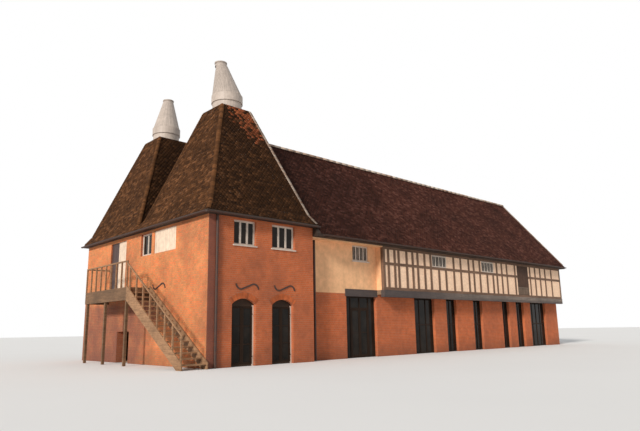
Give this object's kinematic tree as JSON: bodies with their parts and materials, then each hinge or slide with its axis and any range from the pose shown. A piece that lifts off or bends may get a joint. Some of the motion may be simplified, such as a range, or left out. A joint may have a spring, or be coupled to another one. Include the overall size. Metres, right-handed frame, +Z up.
{
  "type": "oast house with timber-framed barn",
  "caption": "Oast house: tiled pyramid-roofed brick kilns with turning cowls, joined to a long jettied oak-framed barn, with glazed doors and an outside stair.",
  "frame": {"origin": "on the ground under the middle of the near kiln", "axes": "+X along the barn away from the kilns, +Y from the front into the depth, +Z up"},
  "size_m": [29.2, 11.624, 13.15],
  "materials": {
    "brick": "matt",
    "tile": "matt",
    "render": "matt",
    "oak": "matt",
    "grey_oak": "matt",
    "white_paint": "satin",
    "dark_paint": "satin",
    "cream_boards": "satin",
    "glass": "gloss",
    "iron": "matt",
    "cowl_white": "satin",
    "stair_timber": "matt",
    "boards": "matt",
    "slab": "matt"
  },
  "bodies": {
    "house": {"near_kiln_piers": "brick", "near_kiln_front": "brick", "near_kiln_left_wall": "brick", "far_kiln_left_wall": "brick", "kiln_party_wall": "brick", "far_kiln_back_wall": "brick", "kiln_right_wall": "brick", "kiln_floors": "boards", "near_kiln_roof": "tile", "far_kiln_roof": "tile", "cowl_curbs": "cowl_white", "kiln_door_frames": "white_paint", "kiln_windows": "white_paint", "kiln_window_glass": "glass", "side_boards": "cream_boards", "barn_ground_floor": "slab", "barn_upper_floor": "boards", "barn_piers": "brick", "bay_wall": "render", "storey_beams": "grey_oak", "timber_frame": "oak", "infill_panels": "render", "barn_windows": "white_paint", "barn_window_glass": "glass", "boarded_panel": "stair_timber", "ground_screens": "dark_paint", "ground_screen_glass": "glass", "entrance_frame": "dark_paint", "barn_back_wall": "brick", "barn_end_wall": "brick", "barn_roof_front": "tile", "barn_roof_back": "tile", "barn_roof_hip": "tile", "ridge_tiles": "tile", "stair_treads": "stair_timber", "stair_strings": "stair_timber", "landing": "stair_timber", "stair_rail": "stair_timber", "tie_plates": "iron", "rainwater_pipes": "iron"},
    "near_cowl": {"near_cowl": "cowl_white"},
    "far_cowl": {"far_cowl": "cowl_white"},
    "door_1_left": {"door_1_left_leaf": "dark_paint", "door_1_left_glass": "glass"},
    "door_1_right": {"door_1_right_leaf": "dark_paint", "door_1_right_glass": "glass"},
    "door_2_left": {"door_2_left_leaf": "dark_paint", "door_2_left_glass": "glass"},
    "door_2_right": {"door_2_right_leaf": "dark_paint", "door_2_right_glass": "glass"},
    "entrance_left": {"entrance_left_leaf": "dark_paint", "entrance_left_glass": "glass"},
    "entrance_right": {"entrance_right_leaf": "dark_paint", "entrance_right_glass": "glass"}
  },
  "joints": [
    {"name": "door_1_left_hinge", "type": "hinge", "parent": "house", "child": "door_1_left", "pos_m": [-1.407, -2.637, 0], "axis": [0, 0, -1], "range_deg": [0, 90]},
    {"name": "door_1_right_hinge", "type": "hinge", "parent": "house", "child": "door_1_right", "pos_m": [-0.483, -2.637, 0], "axis": [0, 0, 1], "range_deg": [0, 90]},
    {"name": "door_2_left_hinge", "type": "hinge", "parent": "house", "child": "door_2_left", "pos_m": [0.423, -2.637, 0], "axis": [0, 0, -1], "range_deg": [0, 90]},
    {"name": "door_2_right_hinge", "type": "hinge", "parent": "house", "child": "door_2_right", "pos_m": [1.347, -2.637, 0], "axis": [0, 0, 1], "range_deg": [0, 90]},
    {"name": "entrance_left_hinge", "type": "hinge", "parent": "house", "child": "entrance_left", "pos_m": [5.303, -2.157, 0], "axis": [0, 0, -1], "range_deg": [0, 90]},
    {"name": "entrance_right_hinge", "type": "hinge", "parent": "house", "child": "entrance_right", "pos_m": [6.407, -2.157, 0], "axis": [0, 0, 1], "range_deg": [0, 90]},
    {"name": "near_cowl_turn", "type": "hinge", "parent": "house", "child": "near_cowl", "pos_m": [0, 0, 11.4], "axis": [0, 0, 1], "continuous": true},
    {"name": "far_cowl_turn", "type": "hinge", "parent": "house", "child": "far_cowl", "pos_m": [0, 5.5, 11.4], "axis": [0, 0, 1], "continuous": true}
  ]
}
